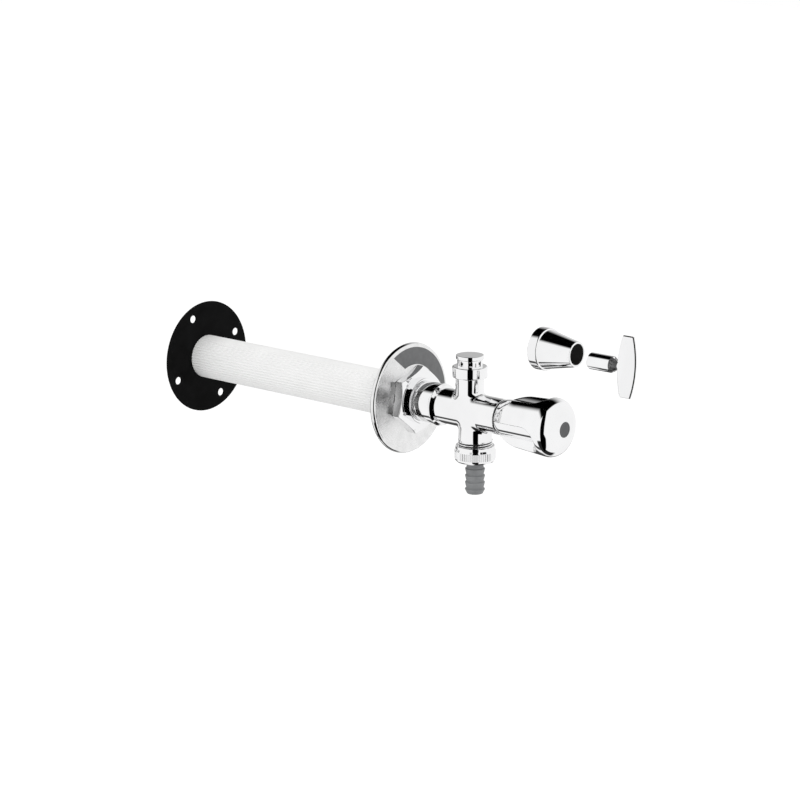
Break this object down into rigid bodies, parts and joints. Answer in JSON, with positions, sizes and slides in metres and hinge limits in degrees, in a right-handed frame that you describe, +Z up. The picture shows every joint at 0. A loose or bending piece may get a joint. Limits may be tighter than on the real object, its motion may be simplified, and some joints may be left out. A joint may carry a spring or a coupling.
{
  "type": "frost free wall tap",
  "caption": "Frost free outdoor wall tap with a long sleeve, inner wall plate, rosette, fluted knob, air valve on top, hose union below, and a taken-off lock cone with its key.",
  "frame": {"origin": "on the tap's axis, in the plane where the rosette's rim meets the outer face of the wall", "axes": "+Y into the wall towards the plate, -Y out of the wall towards the knob, +Z up"},
  "size_m": [0.0914, 0.4689, 0.1424],
  "materials": {
    "black_plastic": "fine matt moulding",
    "white_plastic": "ribbed extrusion",
    "satin_chrome": "satin",
    "chrome": "polished",
    "brass": "machined",
    "copper": "drawn tube",
    "steel": "plain",
    "rubber": "moulded",
    "fibre": "pressed fibre",
    "pale_plastic": "moulded",
    "grey_plastic": "moulded",
    "dark_grey_plastic": "moulded"
  },
  "bodies": {
    "wall_valve": {"wall_plate": "black_plastic", "wall_sleeve": "white_plastic", "rosette": "satin_chrome", "lock_nut": "chrome", "valve_body": "chrome", "inner_pipe": "copper", "seat_housing": "brass", "gland": "brass", "gland_washer": "fibre", "aerator_cap": "chrome", "aerator_seal": "rubber", "check_cage": "pale_plastic", "check_spring": "steel"},
    "handle": {"knob": "chrome", "knob_screw": "steel", "index_plug": "dark_grey_plastic", "spindle": "brass", "spindle_clip": "steel", "spindle_rings": "rubber", "operating_rod": "brass", "rod_pin": "steel"},
    "plunger": {"valve_plunger": "brass", "seat_washer": "rubber", "washer_screw": "brass"},
    "air_float": {"aerator_float": "pale_plastic"},
    "check_valve": {"check_poppet": "pale_plastic", "check_seal": "rubber"},
    "tail": {"hose_tail": "grey_plastic", "hose_washer": "rubber"},
    "union": {"union_nut": "chrome"},
    "cone": {"lock_cone": "chrome"},
    "key": {"key_shank": "chrome", "key_wing": "chrome"}
  },
  "joints": [
    {"name": "knob_turn", "type": "hinge", "parent": "wall_valve", "child": "handle", "pos_m": [0, -0.097, 0], "axis": [0, -1, 0], "range_deg": [0, 720]},
    {"name": "valve_slide", "type": "slide", "parent": "wall_valve", "child": "plunger", "axis": [0, -1, 0], "range_m": [0, 0.005]},
    {"name": "float_rise", "type": "slide", "parent": "wall_valve", "child": "air_float", "axis": [0, 0, 1], "range_m": [0, 0.003]},
    {"name": "check_open", "type": "slide", "parent": "wall_valve", "child": "check_valve", "axis": [0, 0, -1], "range_m": [0, 0.0035], "stiffness_N_per_m": 150, "springref_m": -0.002, "deforming": ["check_spring"]},
    {"name": "tail_drop", "type": "slide", "parent": "wall_valve", "child": "tail", "axis": [0, 0, -1], "range_m": [0, 0.0108]},
    {"name": "union_turn", "type": "hinge", "parent": "tail", "child": "union", "pos_m": [0, -0.069, -0.0322], "axis": [0, 0, -1], "range_deg": [0, 2160]},
    {"name": "cone_slide", "type": "slide", "parent": "wall_valve", "child": "cone", "axis": [0, -1, 0], "range_m": [0, 0.05]},
    {"name": "key_slide", "type": "slide", "parent": "cone", "child": "key", "axis": [0, 0.9973, 0.0733], "range_m": [0, 0.03409]}
  ],
  "couplings": [
    {"joint": "valve_slide", "follows": "knob_turn", "m_per_rad": 0.00039788},
    {"joint": "union_turn", "follows": "tail_drop", "rad_per_m": 3463.7}
  ]
}
